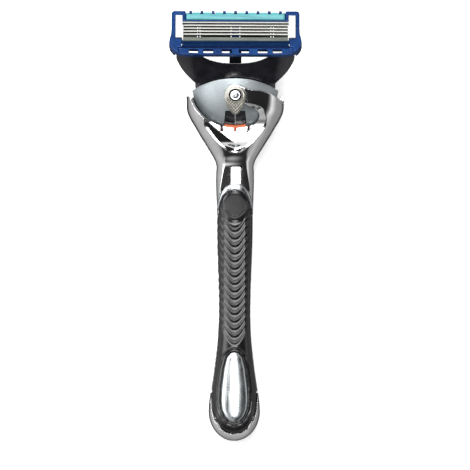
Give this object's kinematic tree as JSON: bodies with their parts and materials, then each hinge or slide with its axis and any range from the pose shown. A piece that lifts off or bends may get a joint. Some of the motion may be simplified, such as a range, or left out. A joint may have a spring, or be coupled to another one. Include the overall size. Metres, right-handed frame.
{
  "type": "cartridge razor",
  "caption": "Hand razor with a ribbed grip, a forked neck that holds a swinging ball joint, and a sprung, tilting blade cartridge that slides off.",
  "frame": {"origin": "middle of the razor's bounding box, on the surface that it lies on", "axes": "+Y from the handle's butt towards the blades, +Z out of the front of the handle, the side that the blades are on, +X to the right in front view"},
  "size_m": [0.0422, 0.1361, 0.0292],
  "materials": {
    "chrome": "bright plated",
    "elastomer": "ribbed, dark grey",
    "satin_silver": "satin plated",
    "ball_grey": "satin metallic grey",
    "black_plastic": "polished black",
    "orange_plastic": "smooth",
    "blue_plastic": "polished blue",
    "navy_elastomer": "soft",
    "grey_comb": "satin",
    "strip": "waxy",
    "steel": "ground",
    "aluminium": "rolled sheet",
    "spring_steel": "plain"
  },
  "bodies": {
    "handle": {"handle_frame": "chrome", "front_grip": "elastomer", "rear_grip": "elastomer", "grip_rim": "satin_silver", "badge": "satin_silver", "pivot_shield": "chrome", "pivot_stud": "satin_silver", "rear_pivot_cap": "chrome"},
    "head": {"head_core": "black_plastic", "ball_shell_front": "ball_grey", "ball_shell_rear": "ball_grey", "return_tail": "orange_plastic", "plunger_spring": "spring_steel", "eject_spring": "spring_steel"},
    "plunger": {"plunger": "black_plastic"},
    "eject_button": {"eject_button": "satin_silver"},
    "yoke": {"yoke": "black_plastic"},
    "cartridge": {"cartridge_housing": "blue_plastic", "lubricating_strip": "strip", "guard_fins": "navy_elastomer", "comb_guard": "grey_comb", "clip_left": "aluminium", "clip_right": "aluminium", "trimmer_guard": "blue_plastic", "trimmer_blade": "steel"},
    "blade_carrier_1": {"blade_1": "steel", "blade_support_1": "spring_steel"},
    "blade_carrier_2": {"blade_2": "steel", "blade_support_2": "spring_steel"},
    "blade_carrier_3": {"blade_3": "steel", "blade_support_3": "spring_steel"},
    "blade_carrier_4": {"blade_4": "steel", "blade_support_4": "spring_steel"},
    "blade_carrier_5": {"blade_5": "steel", "blade_support_5": "spring_steel"}
  },
  "joints": [
    {"name": "ball_pivot", "type": "hinge", "parent": "handle", "child": "head", "pos_m": [0, 0.0415, 0.0124], "axis": [0, 0, 1], "range_deg": [-12, 12], "stiffness_Nm_per_rad": 0.02, "deforming": ["return_tail"]},
    {"name": "cartridge_release", "type": "slide", "parent": "head", "child": "yoke", "axis": [0, 0.8829, 0.4695], "range_m": [0, 0.01]},
    {"name": "cartridge_pivot", "type": "hinge", "parent": "yoke", "child": "cartridge", "pos_m": [0, 0.05706, 0.026], "axis": [-1, 0, 0], "range_deg": [0, 40], "stiffness_Nm_per_rad": 0.004, "springref_deg": -11.46},
    {"name": "plunger_slide", "type": "slide", "parent": "head", "child": "plunger", "axis": [0, 0.8829, 0.4695], "range_m": [-0.003, 0], "stiffness_N_per_m": 0.02, "springref_m": 0.04, "deforming": ["plunger_spring"]},
    {"name": "eject_button", "type": "slide", "parent": "head", "child": "eject_button", "axis": [0, 0.8829, 0.4695], "range_m": [0, 0.002], "stiffness_N_per_m": 300, "springref_m": -0.0005, "deforming": ["eject_spring"]},
    {"name": "blade_1_spring", "type": "slide", "parent": "cartridge", "child": "blade_carrier_1", "axis": [0, -0.454, -0.891], "range_m": [0, 0.00025], "stiffness_N_per_m": 150, "springref_m": -0.0003},
    {"name": "blade_2_spring", "type": "slide", "parent": "cartridge", "child": "blade_carrier_2", "axis": [0, -0.454, -0.891], "range_m": [0, 0.00025], "stiffness_N_per_m": 150, "springref_m": -0.0003},
    {"name": "blade_3_spring", "type": "slide", "parent": "cartridge", "child": "blade_carrier_3", "axis": [0, -0.454, -0.891], "range_m": [0, 0.00025], "stiffness_N_per_m": 150, "springref_m": -0.0003},
    {"name": "blade_4_spring", "type": "slide", "parent": "cartridge", "child": "blade_carrier_4", "axis": [0, -0.454, -0.891], "range_m": [0, 0.00025], "stiffness_N_per_m": 150, "springref_m": -0.0003},
    {"name": "blade_5_spring", "type": "slide", "parent": "cartridge", "child": "blade_carrier_5", "axis": [0, -0.454, -0.891], "range_m": [0, 0.00025], "stiffness_N_per_m": 150, "springref_m": -0.0003}
  ],
  "couplings": [
    {"joint": "plunger_slide", "follows": "cartridge_pivot", "m_per_rad": -0.00416}
  ]
}
